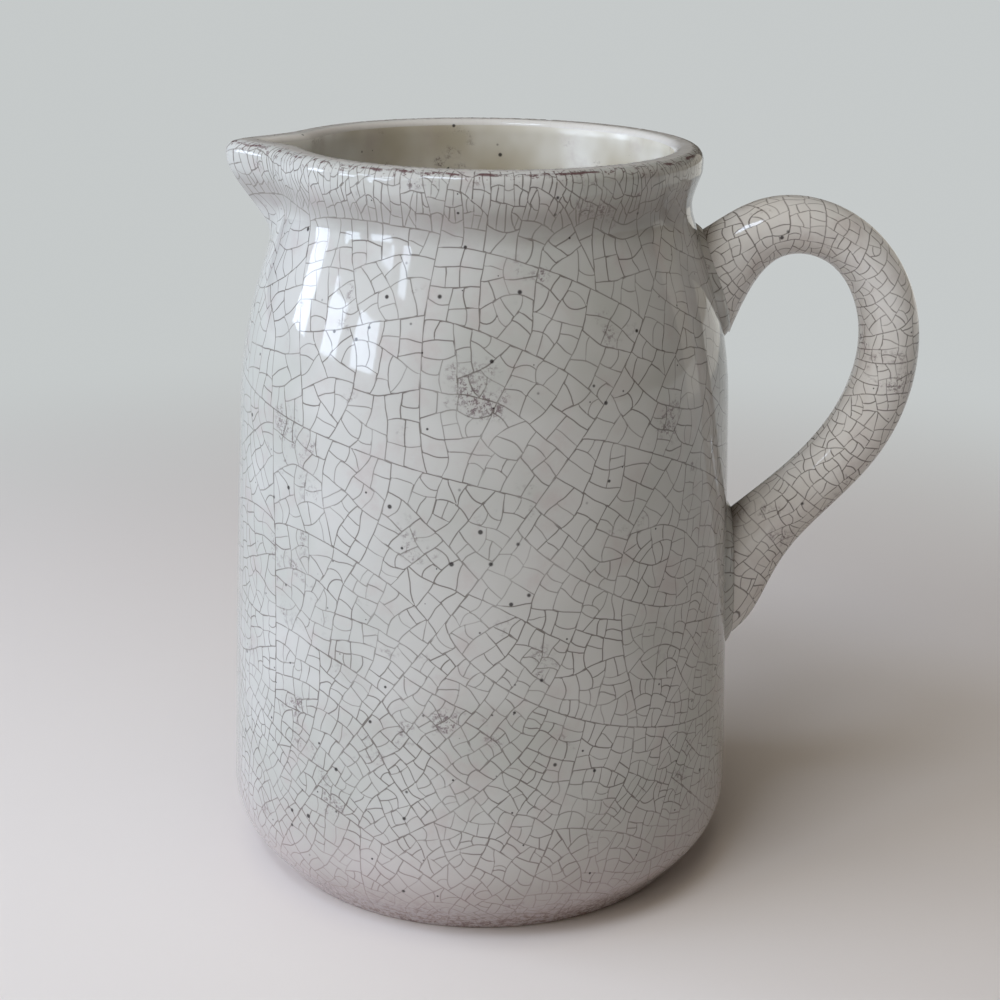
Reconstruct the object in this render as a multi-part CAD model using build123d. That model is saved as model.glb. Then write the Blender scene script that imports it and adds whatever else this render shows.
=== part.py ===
from build123d import *
import math
import os

# Glazed stoneware pitcher: a thrown vessel with a rolled rim and a pulled pouring lip,
# a pulled loop handle, and the two slip-clay joints that lute the handle to the wall.
# Millimetres. +Z is up, the origin is the centre of the foot on the table,
# the handle is towards +X and the lip towards -X.

# ---- vessel: outside ----
HEIGHT = 250.0             # table to the crown of the rim
FOOT_RADIUS = 73.5         # outer edge of the foot ring on the table
BELLY_RADIUS = 88.4        # corner of the turned-in base
BELLY_HEIGHT = 17.5        # that corner above the table
BELLY_ROUND = 25.0
WALL_TAPER = 6.4           # how far the wall leans in, from that corner up to the shoulder's
SHOULDER_DROP = 61.0       # the shoulder's corner below the crown
SHOULDER_ROUND = 150.0
RIM_RADIUS = 70.5          # outside of the rim band
RIM_OVERHANG = 3.5         # how far the band stands out from the corner of the neck
NECK_DROP = 21.0           # that corner below the crown
NECK_ROUND = 22.0
RIM_BAND = 11.5            # height of the rim band
RIM_OUTER_ROUND = 4.0      # softened outer edge of the crown

# ---- vessel: inside and underside ----
WALL = 7.0                 # thrown wall
RIM_WALL = 8.5             # thicker at the rolled rim
RIM_INNER_ROUND = 2.0
FLOOR = 9.0                # inside floor above the table
FLOOR_COVE = 9.0           # rounding between floor and wall
FOOT_RING_WIDTH = 12.0
FOOT_RECESS = 2.5          # shallow hollow inside the foot ring
RECESS_SLOPE = 2.0         # how much narrower that hollow is at its roof

# ---- pouring lip, pulled out of the rim ----
LIP_REACH = 16.0           # tip beyond the rim band
LIP_TIP_ROUND = 5.5        # plan radius of the tip
LIP_HALF_WIDTH = 24.0      # where its flanks leave the rim, to each side
LIP_BLEND = 16.0           # hollow blend from rim to flank
LIP_ROOT_DROP = 37.0       # where its underside runs out inside the neck, below the crown
LIP_ROOT_SUNK = 4.0        # depth of that end below the neck's surface
LIP_ROOT_ROUND = 11.0      # plan radius of its ridge there
LIP_WALL = 16.5            # broad crown between the lip's tip and the end of its channel
CHANNEL_NARROWER = 9.0     # channel's flanks inside the lip's, to each side
CHANNEL_TIP_ROUND = 4.5
CHANNEL_BLEND = 10.0
CHANNEL_DEPTH = 5.0        # upright part of the pouring channel
CHANNEL_ROOT_DROP = 20.0   # where the channel runs out inside the neck, below the crown
CHANNEL_ROOT_SUNK = 1.0    # how far inside the mouth's wall it ends there
CHANNEL_ROOT_ROUND = 8.0   # plan radius of its bottom there
ROOT_INSIDE = 0.95         # the rim's circle at both roots, as a share that stays inside the neck
FLANK_TRIES = 20           # steps towards the point where a lip's flanks meet
ROUND_ROOM = 0.95          # share of a run that the roundings at its two ends may take

# ---- handle ----
UPPER_ROOT_DROP = 47.0     # middle of the upper joint below the crown
LOWER_ROOT_HEIGHT = 100.0  # middle of the lower joint above the table
HANDLE_REACH = 52.2        # wall to the middle of the loop at its widest
HANDLE_THICKNESS = 21.0    # seen from the side, at its widest reach
HANDLE_WIDTH = 21.5        # seen from the front
UPPER_ROOT_LENGTH = 37.5   # pressed-on ends, along the wall
LOWER_ROOT_LENGTH = 54.0
ROOT_WIDTH = 27.0          # pressed-on ends, across
HANDLE_SECTIONS = 11       # sections that the loop is lofted through
TANGENT_STEP = 0.002       # share of the loop over which its direction is taken

# ---- slip-clay joints ----
LUTE_PROUD = 3.0           # how far the squeezed-out slip stands off the wall
LUTE_MARGIN = 4.0          # how far it spreads round the handle's end
LUTE_SLOPE = 0.6           # how much it narrows for each millimetre that it stands out
LUTE_DEPTH = 8.0           # half the length of the blank that its outline is cut from

os.makedirs("parts", exist_ok=True)

SHOULDER_RADIUS = BELLY_RADIUS - WALL_TAPER
NECK_RADIUS = RIM_RADIUS - RIM_OVERHANG
BAND_HEIGHT = HEIGHT - RIM_BAND
NECK_HEIGHT = HEIGHT - NECK_DROP
SHOULDER_HEIGHT = HEIGHT - SHOULDER_DROP
MOUTH_RADIUS = RIM_RADIUS - RIM_WALL
UPPER_ROOT_HEIGHT = HEIGHT - UPPER_ROOT_DROP


def wall_corners():
    """Corners of the outer outline, as (radius, height), from the foot to the rim band."""
    return [
        (FOOT_RADIUS, 0),
        (BELLY_RADIUS, BELLY_HEIGHT),
        (SHOULDER_RADIUS, SHOULDER_HEIGHT),
        (NECK_RADIUS, NECK_HEIGHT),
        (RIM_RADIUS, BAND_HEIGHT),
    ]


def wall_run(height):
    """The straight run of the outer outline that passes a height, as its two corners."""
    corners = wall_corners()
    for low, high in zip(corners, corners[1:]):
        if height <= high[1]:
            return low, high
    return corners[-2], corners[-1]


def wall_radius(height):
    """Radius of the outer outline at a height."""
    (low_r, low_z), (high_r, high_z) = wall_run(height)
    return low_r + (high_r - low_r) * (height - low_z) / (high_z - low_z)


def turned(outline):
    """A solid of revolution under an outline of (radius, height), closed along the axis."""
    bottom, top = outline @ 0, outline @ 1
    axis_side = Polyline((top.X, top.Y), (0, top.Y), (0, bottom.Y), (bottom.X, bottom.Y))
    return revolve(make_face(Plane.XZ * (outline + axis_side)), Axis.Z)


def round_reach(before, corner, after, rounding):
    """How far a rounding reaches from its corner along both runs."""
    turn = math.radians((corner - before).get_angle(after - corner))
    return rounding * math.tan(turn / 2)


def rounded_wall(corners, base_round):
    """A wall's outline over its corners, base to rim, with roundings that its runs have room for."""
    base, shoulder, neck, rim = [Vector(*corner) for corner in corners[1:]]
    neck_reach = round_reach(shoulder, neck, rim, NECK_ROUND)
    neck_share = min(1, (rim - neck).length * ROUND_ROOM / neck_reach)
    room = (neck - shoulder).length * ROUND_ROOM - neck_reach * neck_share
    shoulder_share = min(1, room / round_reach(base, shoulder, neck, SHOULDER_ROUND))
    radii = [base_round, SHOULDER_ROUND * shoulder_share, NECK_ROUND * neck_share]
    return FilletPolyline(*corners, radius=radii)


def outer_form(grow=0.0):
    """The vessel's outside below the rim band as a filled solid, grown sideways by grow."""
    corners = [(radius + grow, height) for radius, height in wall_corners()]
    return turned(rounded_wall(corners, BELLY_ROUND))


def cavity_form():
    """The space inside the vessel, from its floor up through the mouth."""
    inner_belly = BELLY_RADIUS - WALL
    corners = [
        (inner_belly - 2 * FLOOR_COVE, FLOOR),
        (inner_belly, FLOOR),
        (SHOULDER_RADIUS - WALL, SHOULDER_HEIGHT),
        (MOUTH_RADIUS, NECK_HEIGHT),
        (MOUTH_RADIUS, HEIGHT),
    ]
    return turned(rounded_wall(corners, FLOOR_COVE))


def lip_plan(height, radius, tip, tip_round, half_width, blend):
    """Plan face at a height: a circle with a pointed lip towards -X, blended into it."""
    root_x = -math.sqrt(radius**2 - half_width**2)
    sharp = sharp_tip(tip, tip_round, root_x, half_width)
    flank = Polygon((root_x, half_width), (sharp, 0), (root_x, -half_width), align=None)
    flank = fillet(flank.vertices().sort_by(Axis.X)[0], tip_round)
    plan = Circle(radius) + flank
    hollows = plan.vertices().filter_by(lambda corner: abs(abs(corner.Y) - half_width) < 0.01)
    return (Pos(0, 0, height) * fillet(hollows, blend)).face()


def sharp_tip(tip, tip_round, root_x, half_width):
    """Where two flanks must meet so that, once rounded, they end at tip."""
    sharp = tip
    for _ in range(FLANK_TRIES):
        half_angle = math.atan2(half_width, root_x - sharp)
        sharp = tip - tip_round * (1 / math.sin(half_angle) - 1)
    return sharp


def lip_form(radius, tip, tip_round, half_width, blend, upright, root_height, root_radius, root_round):
    """Rim and lip, upright below the crown, then drawn in to a smaller plan inside the neck."""
    upper = lip_plan(HEIGHT - upright, radius, tip, tip_round, half_width, blend)
    shrink = root_radius / -tip
    circle = radius * shrink * ROOT_INSIDE
    lower = lip_plan(root_height, circle, -root_radius, root_round, half_width * shrink, blend * shrink)
    return extrude(upper, upright) + loft([lower, upper])


def vessel_body():
    """Foot, wall, shoulder, rim band and lip, hollowed, with a softened crown."""
    lip_root = HEIGHT - LIP_ROOT_DROP
    outside = outer_form() + lip_form(
        RIM_RADIUS,
        -(RIM_RADIUS + LIP_REACH),
        LIP_TIP_ROUND,
        LIP_HALF_WIDTH,
        LIP_BLEND,
        RIM_BAND,
        lip_root,
        wall_radius(lip_root) - LIP_ROOT_SUNK,
        LIP_ROOT_ROUND,
    )
    inside = cavity_form() + lip_form(
        MOUTH_RADIUS,
        -(RIM_RADIUS + LIP_REACH - LIP_WALL),
        CHANNEL_TIP_ROUND,
        LIP_HALF_WIDTH - CHANNEL_NARROWER,
        CHANNEL_BLEND,
        CHANNEL_DEPTH,
        HEIGHT - CHANNEL_ROOT_DROP,
        MOUTH_RADIUS - CHANNEL_ROOT_SUNK,
        CHANNEL_ROOT_ROUND,
    )
    recess_radius = FOOT_RADIUS - FOOT_RING_WIDTH
    recess = Pos(0, 0, FOOT_RECESS / 2) * Cone(recess_radius, recess_radius - RECESS_SLOPE, FOOT_RECESS)
    body = outside - inside - recess
    body = fillet(crown(body).outer_wire().edges(), RIM_OUTER_ROUND)
    return fillet(crown(body).inner_wires()[0].edges(), RIM_INNER_ROUND)


def crown(body):
    """The flat top face of the rim."""
    return body.faces().filter_by(Plane.XY).sort_by(Axis.Z)[-1]


def handle_controls():
    """Control points of the pulled loop: its middle (x, z), its thickness and its width."""
    span = UPPER_ROOT_HEIGHT - LOWER_ROOT_HEIGHT
    upper_wall, lower_wall = wall_radius(UPPER_ROOT_HEIGHT), wall_radius(LOWER_ROOT_HEIGHT)

    def upper(out, up, thickness, width):
        return upper_wall + out, UPPER_ROOT_HEIGHT + up, thickness * UPPER_ROOT_LENGTH, width

    def loop(out, up, thickness, width):
        middle = lower_wall + out * HANDLE_REACH, LOWER_ROOT_HEIGHT + up * span
        return *middle, thickness * HANDLE_THICKNESS, width * HANDLE_WIDTH

    def lower(out, up, thickness, width):
        return lower_wall + out, LOWER_ROOT_HEIGHT + up, thickness * LOWER_ROOT_LENGTH, width

    return [
        upper(-7.2, -2.4, 1.0, ROOT_WIDTH),
        upper(2.5, 7.3, 0.61, ROOT_WIDTH),
        loop(0.13, 1.235, 1.0, 1.12),
        loop(0.735, 1.183, 0.79, 1.0),
        loop(1.075, 0.88, 1.0, 1.0),
        loop(0.927, 0.462, 1.057, 1.0),
        loop(0.207, 0.164, 1.067, 1.05),
        lower(-1.8, -0.3, 0.64, 0.95 * ROOT_WIDTH),
        lower(-5.1, -1.2, 0.99, 1.04 * ROOT_WIDTH),
    ]


def spline_point(controls, share):
    """Point of a clamped cubic B-spline on control points, at a share of the way along it."""
    degree = 3
    spans = len(controls) - degree
    knots = [min(max(i - degree, 0), spans) for i in range(len(controls) + degree + 1)]
    place = share * spans
    span = min(int(place), spans - 1) + degree
    points = controls[span - degree : span + 1]
    for order in range(1, degree + 1):
        for i in range(degree, order - 1, -1):
            low, high = knots[i + span - degree], knots[i + 1 + span - order]
            weight = (place - low) / (high - low)
            points[i] = [a + weight * (b - a) for a, b in zip(points[i - 1], points[i])]
    return points[degree]


def handle_loop():
    """The pulled loop, with both ends running on into the wall."""
    controls = handle_controls()
    sections = []
    for i in range(HANDLE_SECTIONS):
        share = i / (HANDLE_SECTIONS - 1)
        x, z, thickness, width = spline_point(controls, share)
        back_x, back_z, _, _ = spline_point(controls, max(share - TANGENT_STEP, 0))
        on_x, on_z, _, _ = spline_point(controls, min(share + TANGENT_STEP, 1))
        along = Vector(on_x - back_x, 0, on_z - back_z).normalized()
        across = Vector(0, 1, 0).cross(along)
        plane = Plane(origin=(x, 0, z), x_dir=across, z_dir=along)
        sections.append(plane * Ellipse(thickness / 2, width / 2))
    return loft(sections)


def lute(height, length, outside, loop):
    """Slip squeezed out round one end of the handle, on the wall at a height."""
    (low_r, low_z), (high_r, high_z) = wall_run(height)
    slope = Vector(high_r - low_r, 0, high_z - low_z).normalized()
    outward = Vector(0, 1, 0).cross(slope)
    on_wall = Vector(wall_radius(height), 0, height)

    def outline(out):
        plane = Plane(origin=on_wall + outward * out, x_dir=slope, z_dir=outward)
        spread = LUTE_MARGIN - LUTE_SLOPE * out
        return plane * Ellipse(length / 2 + spread, ROOT_WIDTH / 2 + spread)

    blank = loft([outline(-LUTE_DEPTH), outline(LUTE_DEPTH)])
    return (blank & outer_form(LUTE_PROUD)) - outside - loop


outside = outer_form()
loop = handle_loop()
pieces = {
    "vessel_body": vessel_body(),
    "handle": loop - outside,
    "upper_handle_lute": lute(UPPER_ROOT_HEIGHT, UPPER_ROOT_LENGTH, outside, loop),
    "lower_handle_lute": lute(LOWER_ROOT_HEIGHT, LOWER_ROOT_LENGTH, outside, loop),
}
for name, piece in pieces.items():
    export_step(piece, f"parts/{name}.step")
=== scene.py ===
"""The looks of a glazed stoneware pitcher: crackle glaze, liner glaze, bare foot and a plain studio."""
import math
import random

import bmesh
import bpy
import numpy as np
from mathutils import Matrix, Vector
from mathutils.geometry import delaunay_2d_cdt


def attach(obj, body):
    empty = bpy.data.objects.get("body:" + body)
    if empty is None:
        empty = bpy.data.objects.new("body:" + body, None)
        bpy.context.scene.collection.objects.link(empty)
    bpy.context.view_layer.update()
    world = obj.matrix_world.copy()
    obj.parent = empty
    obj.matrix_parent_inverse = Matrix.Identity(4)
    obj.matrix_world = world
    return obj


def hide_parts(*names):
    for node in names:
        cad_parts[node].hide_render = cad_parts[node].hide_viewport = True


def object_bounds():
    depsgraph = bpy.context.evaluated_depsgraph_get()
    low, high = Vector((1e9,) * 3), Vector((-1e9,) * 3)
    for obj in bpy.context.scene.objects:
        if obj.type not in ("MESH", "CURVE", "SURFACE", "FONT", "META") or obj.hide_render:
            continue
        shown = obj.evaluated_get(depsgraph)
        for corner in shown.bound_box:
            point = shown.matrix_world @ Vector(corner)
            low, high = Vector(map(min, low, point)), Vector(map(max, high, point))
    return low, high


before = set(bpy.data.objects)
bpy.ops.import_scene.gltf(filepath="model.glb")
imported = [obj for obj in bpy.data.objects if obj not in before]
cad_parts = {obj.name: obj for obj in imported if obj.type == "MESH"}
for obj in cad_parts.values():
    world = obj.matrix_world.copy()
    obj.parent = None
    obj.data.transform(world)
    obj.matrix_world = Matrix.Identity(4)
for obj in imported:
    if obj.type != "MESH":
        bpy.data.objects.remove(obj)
cad_low, cad_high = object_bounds()

# ---- sizes, in millimetres as in the part's source, for a pitcher of this height ----
HEIGHT = 250.0
MM = (cad_high[2] - cad_low[2]) / HEIGHT     # metres in one of those millimetres

FOOT_RADIUS = 73.5
FOOT_RING_WIDTH = 12.0
FOOT_RECESS = 2.5
RECESS_SLOPE = 2.0
BELLY_RADIUS, BELLY_HEIGHT = 88.4, 17.5
SHOULDER_RADIUS, SHOULDER_HEIGHT = 82.0, 189.0
NECK_RADIUS, NECK_HEIGHT = 66.6, 231.5
RIM_RADIUS, BAND_HEIGHT = 70.5, 242.5
MOUTH_RADIUS = 61.2
WALL = 7.0
FLOOR = 9.0
INNER_NECK_HEIGHT = 229.0

# roundings of the outline's corners
RECESS_ROUND = 1.0
FOOT_INNER_ROUND, FOOT_OUTER_ROUND = 0.6, 1.6
BELLY_ROUND, SHOULDER_ROUND = 25.0, 150.0
NECK_ROUND, INNER_NECK_ROUND = 14.0, 22.0
BAND_ROUND, RIM_OUTER_ROUND, RIM_INNER_ROUND = 3.5, 4.0, 2.6
FLOOR_COVE = 9.0
CROWN_DEPTH = 4.5            # how far down from the crown its roundings reach
GLAZE_EDGE = (1.5, 2.0)      # where the glaze stops: beyond the foot's edge, and above the table
LINER_EDGE = 2               # how far below the crown the liner glaze starts inside

LIP_TIP = 86.5               # tip of the pouring lip from the axis
LIP_HALF_WIDTH = 24.0
LIP_ROOT_HEIGHT, LIP_ROOT_RADIUS = 214.0, 70.0
LIP_CURL_HEIGHT = 246.0      # where its underside starts to turn in
CHANNEL_TIP = 73.5
CHANNEL_HALF_WIDTH = 15.0
CHANNEL_ROOT_HEIGHT, CHANNEL_ROOT_RADIUS = 208.0, 61.0
CHANNEL_TOP = 245.0
LIP_BLEND, CHANNEL_BLEND = 3.0, 1.2
BEAK_SHARPNESS = 2.0         # how far beyond the rounded tip the lip's flanks would meet

# How the thrown wall strays from round: size, waves round it, phase, and height over which they turn.
WOBBLES = ((0.30, 2, 1.1, 90.0), (0.20, 3, 0.0, -47.0), (0.10, 5, 0.0, 31.0))
WOBBLE_HEIGHT, WOBBLE_RADIUS = 30.0, 40.0    # from here on the wobble is full

# Handle: each control point is the distance out from the axis, the height, the thickness and the width.
HANDLE_CONTROLS = (
    (69.5, 200.6, 37.6, 27.0),
    (79.2, 210.3, 23.0, 26.5),
    (92.0, 227.2, 21.0, 24.0),
    (123.7, 221.9, 16.6, 21.0),
    (141.4, 190.6, 21.0, 21.0),
    (131.8, 148.6, 21.6, 21.5),
    (95.0, 118.0, 20.8, 22.0),
    (84.4, 99.8, 34.0, 24.5),
    (78.0, 99.6, 54.0, 27.0),
)
# Slip pads round the handle's ends: middle, length and width on the wall.
LUTES = {"upper_handle_lute": (205.0, 39.0, 33.0), "lower_handle_lute": (101.0, 54.5, 33.5)}
LUTE_PROUD = 3.8
LUTE_HOLE = 0.3              # share of a pad's width that the handle hides
LUTE_FLATNESS = 7            # how evenly thick it is before its edge runs out
LUTE_SUNK = 0.2              # how far its edge ends inside the wall
PULL_RIPPLE = 0.012          # share by which the pulled handle's thickness strays
PULL_LENGTHS = (9, 23)       # lengths of those ripples along it
HANDLE_SAMPLES = 600
TANGENT_STEP = 1.0           # distance over which the handle's direction is taken

# ---- cracks, and how close together the points of the meshes are ----
CRACK_HALF_WIDTH = 0.38
CRACK_DEPTH = 0.03
CHORD_DEPTH = 0.04           # how far a crack's chords may leave its curve
RIM_CELLS_FROM = 234.0       # height above which the cells are small and tall
CROWN_CELL, RIM_CELL, HANDLE_CELL = 6.5, 3.9, 4.2
CROWN_CELLS_FROM = 2         # run past the crown's edge where its own cells start
FOOT_CELL, CELL_GROWTH = 4.6, 2.1            # cells grow by so much up the wall
GROWTH_FROM, GROWTH_OVER = 50, 110           # between these heights
RIM_TALLNESS = 1.9
VESSEL_SEED, HANDLE_SEED, LUTE_SEED = 11, 5, 3
MOST_TRIMMED = 0.45          # share of a strip's last step that may be cut off at its end
CLEAR_OF_CRACKS = 0.7        # between cracks and the points that fill the sheet
SHORTEST_ROW = 0.4
ROWS_SET_AT = 0.25           # share of a turn, clear of the lip, where the rows' spacing is read
AXIS_HOLE = 0.5              # run at which a plain grid starts or ends beside the axis
LINER_GRID, FOOT_GRID = (240, 110), (180, 50)    # columns and rows
CLOSEST_POINTS = 1e-4        # nearer ones are taken as one point
SURFACE_STEP = 0.02          # steps over which a form's normals are taken
WELD = 0.001
LIP_SHARE = 0.09             # share of a turn to each side of the lip with close points
LIP_STEP, WALL_STEP, CROWN_STEP = 1.1, 4.0, 2.6
CROWN_ROW, NECK_ROW, WALL_ROW, FOOT_ROW = 0.8, 1.6, 3.6, 2.4
FOOT_ROWS_TO = 30            # height up to which the rows follow the turned-in base
HANDLE_STEPS, LUTE_STEPS = (1.7, 2.0), (1.5, 0.8)


def rounded_outline(corners):
    """Dense points along corners given as (radius, height, rounding)."""
    points = [np.array(corners[0][:2], float)]
    for before, corner, after in zip(corners, corners[1:], corners[2:]):
        here = np.array(corner[:2], float)
        inward = np.array(before[:2]) - here
        onward = np.array(after[:2]) - here
        inward /= np.linalg.norm(inward)
        onward /= np.linalg.norm(onward)
        if corner[2] == 0:
            points.append(here)
            continue
        half = math.acos(np.clip(inward @ onward, -1, 1)) / 2
        middle = (inward + onward) / np.linalg.norm(inward + onward)
        centre = here + middle * corner[2] / math.sin(half)
        sweep = math.pi / 2 - half
        side = np.array([-middle[1], middle[0]])
        side *= 1 if side @ onward > 0 else -1
        steps = max(8, int(math.degrees(sweep) * 4))
        for turn in np.linspace(-sweep, sweep, steps):
            points.append(centre + corner[2] * (side * math.sin(turn) - middle * math.cos(turn)))
    points.append(np.array(corners[-1][:2], float))
    return np.array(points)


class Outline:
    """An outline that is followed by the distance run along it."""

    def __init__(self, corners):
        self.points = rounded_outline(corners)
        steps = np.linalg.norm(np.diff(self.points, axis=0), axis=1)
        self.run = np.concatenate([[0], np.cumsum(steps)])
        self.length = self.run[-1]

    def at(self, run):
        return np.interp(run, self.run, self.points[:, 0]), np.interp(run, self.run, self.points[:, 1])

    def nearest(self, radius, height):
        away = np.hypot(self.points[:, 0] - radius, self.points[:, 1] - height)
        return self.run[away.argmin()]


INNER_BELLY = BELLY_RADIUS - WALL
RECESS_RADIUS = FOOT_RADIUS - FOOT_RING_WIDTH
OUTLINE = Outline(
    [
        (0, FOOT_RECESS, 0),
        (RECESS_RADIUS - RECESS_SLOPE, FOOT_RECESS, RECESS_ROUND),
        (RECESS_RADIUS, 0, FOOT_INNER_ROUND),
        (FOOT_RADIUS, 0, FOOT_OUTER_ROUND),
        (BELLY_RADIUS, BELLY_HEIGHT, BELLY_ROUND),
        (SHOULDER_RADIUS, SHOULDER_HEIGHT, SHOULDER_ROUND),
        (NECK_RADIUS, NECK_HEIGHT, NECK_ROUND),
        (RIM_RADIUS, BAND_HEIGHT, BAND_ROUND),
        (RIM_RADIUS, HEIGHT, RIM_OUTER_ROUND),
        (MOUTH_RADIUS, HEIGHT, RIM_INNER_ROUND),
        (MOUTH_RADIUS, INNER_NECK_HEIGHT, INNER_NECK_ROUND),
        (SHOULDER_RADIUS - WALL, SHOULDER_HEIGHT, SHOULDER_ROUND),
        (INNER_BELLY, FLOOR, FLOOR_COVE),
        (0, FLOOR, 0),
    ]
)
FOOT_EDGE = OUTLINE.nearest(FOOT_RADIUS, 0)
CROWN = OUTLINE.nearest((RIM_RADIUS + MOUTH_RADIUS) / 2, HEIGHT)
CROWN_EDGE = OUTLINE.nearest(RIM_RADIUS, HEIGHT)
GLAZE_FOOT = OUTLINE.nearest(FOOT_RADIUS + GLAZE_EDGE[0], GLAZE_EDGE[1])
GLAZE_TOP = OUTLINE.nearest(MOUTH_RADIUS, HEIGHT - LINER_EDGE)


def soft_max(first, second, blend):
    return (first + second + np.sqrt((first - second) ** 2 + blend**2)) / 2


def beak(angle, tip, full_tip, half_width, circle):
    """Radius of a pointed lip towards -X at an angle, when its tip stands at tip."""
    root = math.sqrt(circle**2 - half_width**2)
    sharp = full_tip + BEAK_SHARPNESS
    normal = np.array([half_width, sharp - root]) / math.hypot(half_width, sharp - root)
    distance = normal[0] * sharp
    softness = (distance / full_tip - normal[0]) / normal[1]
    ahead = -np.cos(angle)
    reach = normal[0] * ahead + normal[1] * np.sqrt(np.sin(angle) ** 2 + softness**2)
    reach = np.where(ahead < normal[0], 1, np.minimum(reach, 1))
    return distance / reach * tip / full_tip


def outer_lip(angle, height):
    """Radius of the lip's outside at an angle and a height."""
    rise = np.clip((height - LIP_ROOT_HEIGHT) / (LIP_CURL_HEIGHT - LIP_ROOT_HEIGHT), 0, 1)
    tip = LIP_ROOT_RADIUS + (LIP_TIP - LIP_ROOT_RADIUS) * rise**2 * (3 - 2 * rise)
    tip = tip - np.clip(LIP_ROOT_HEIGHT - height, 0, LIP_ROOT_RADIUS)
    return beak(angle, tip, LIP_TIP, LIP_HALF_WIDTH, RIM_RADIUS)


def channel(angle, height):
    """Radius of the pouring channel at an angle and a height."""
    rise = (height - CHANNEL_ROOT_HEIGHT) / (CHANNEL_TOP - CHANNEL_ROOT_HEIGHT)
    tip = CHANNEL_ROOT_RADIUS + (CHANNEL_TIP - CHANNEL_ROOT_RADIUS) * np.clip(rise, 0, 1)
    tip = tip - np.clip(CHANNEL_ROOT_HEIGHT - height, 0, CHANNEL_ROOT_RADIUS)
    return beak(angle, tip, CHANNEL_TIP, CHANNEL_HALF_WIDTH, MOUTH_RADIUS)


def hand_wobble(angle, height):
    """How far the thrown wall strays from round."""
    return sum(
        size * np.sin(waves * angle + phase + height / turning)
        for size, waves, phase, turning in WOBBLES
    )


def vessel_points(turn, run):
    """Points of the vessel's surface, for a share of a turn and a run along the outline."""
    radius, height = OUTLINE.at(run)
    angle = 2 * math.pi * turn
    outside = run < CROWN
    across = (radius - MOUTH_RADIUS) / (RIM_RADIUS - MOUTH_RADIUS)
    crown = height > HEIGHT - CROWN_DEPTH
    across = np.where(crown, np.clip(across, 0, 1), outside)
    outer_base = np.where(crown, RIM_RADIUS, radius)
    inner_base = np.where(crown, MOUTH_RADIUS, radius)
    outer = soft_max(outer_base, outer_lip(angle, height), LIP_BLEND)
    inner = soft_max(inner_base, channel(angle, height), CHANNEL_BLEND)
    reach = inner + (outer - inner) * across
    grown = np.clip(height / WOBBLE_HEIGHT, 0, 1)
    reach = reach + hand_wobble(angle, height) * grown * np.clip(radius / WOBBLE_RADIUS, 0, 1)
    x = reach * np.cos(angle)
    y = reach * np.sin(angle)
    return np.stack([x, y, height], -1)


def wall_radius(height):
    """Radius of the outside of the wall at a height, without the lip."""
    outside = (OUTLINE.run > FOOT_EDGE) & (OUTLINE.run < CROWN)
    return np.interp(height, OUTLINE.points[outside, 1], OUTLINE.points[outside, 0])


def spline_weights(count, where):
    """Weights of a clamped cubic B-spline's control points at places from 0 to 1."""
    degree = 3
    knots = np.concatenate([np.zeros(degree), np.linspace(0, 1, count - degree + 1), np.ones(degree)])
    where = np.clip(where, 0, 1 - 1e-9)
    weights = [(where >= a) & (where < b) for a, b in zip(knots, knots[1:])]
    weights = [w.astype(float) for w in weights]
    for order in range(1, degree + 1):
        raised = []
        for i in range(len(weights) - 1):
            left = knots[i + order] - knots[i]
            right = knots[i + order + 1] - knots[i + 1]
            value = np.zeros_like(where)
            if left > 0:
                value = value + (where - knots[i]) / left * weights[i]
            if right > 0:
                value = value + (knots[i + order + 1] - where) / right * weights[i + 1]
            raised.append(value)
        weights = raised
    return np.stack(weights, -1)


HANDLE_TABLE = np.linspace(0, 1, HANDLE_SAMPLES)
HANDLE_LINE = spline_weights(len(HANDLE_CONTROLS), HANDLE_TABLE) @ np.array(HANDLE_CONTROLS)
HANDLE_RUN = np.concatenate(
    [[0], np.cumsum(np.linalg.norm(np.diff(HANDLE_LINE[:, :2], axis=0), axis=1))]
)
HANDLE_LENGTH = HANDLE_RUN[-1]


def handle_line(run):
    """Middle (x, z), thickness and width of the handle, at a run along it."""
    return [np.interp(run, HANDLE_RUN, HANDLE_LINE[:, i]) for i in range(4)]


def handle_points(turn, run):
    """Points of the handle's surface, for a share of a turn round it and a run along it."""
    x, z, thick, wide = handle_line(run)
    ahead_x, ahead_z, _, _ = handle_line(run + TANGENT_STEP)
    behind_x, behind_z, _, _ = handle_line(run - TANGENT_STEP)
    along = np.hypot(ahead_x - behind_x, ahead_z - behind_z)
    normal_x = -(ahead_z - behind_z) / along
    normal_z = (ahead_x - behind_x) / along
    angle = 2 * math.pi * turn + math.pi
    out = np.cos(angle) * thick / 2
    short, long = PULL_LENGTHS
    pulled = 1 + PULL_RIPPLE * np.sin(run / short + 2 * angle) + PULL_RIPPLE * np.sin(run / long + angle)
    side = np.sin(angle) * wide / 2 * pulled
    return np.stack([x + normal_x * out * pulled, side, z + normal_z * out * pulled], -1)


def handle_girth(run):
    _, _, thick, wide = handle_line(run)
    return math.pi * (thick + wide) / 2


def vessel_girth(run):
    return 2 * math.pi * np.maximum(OUTLINE.at(run)[0], 5)


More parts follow.
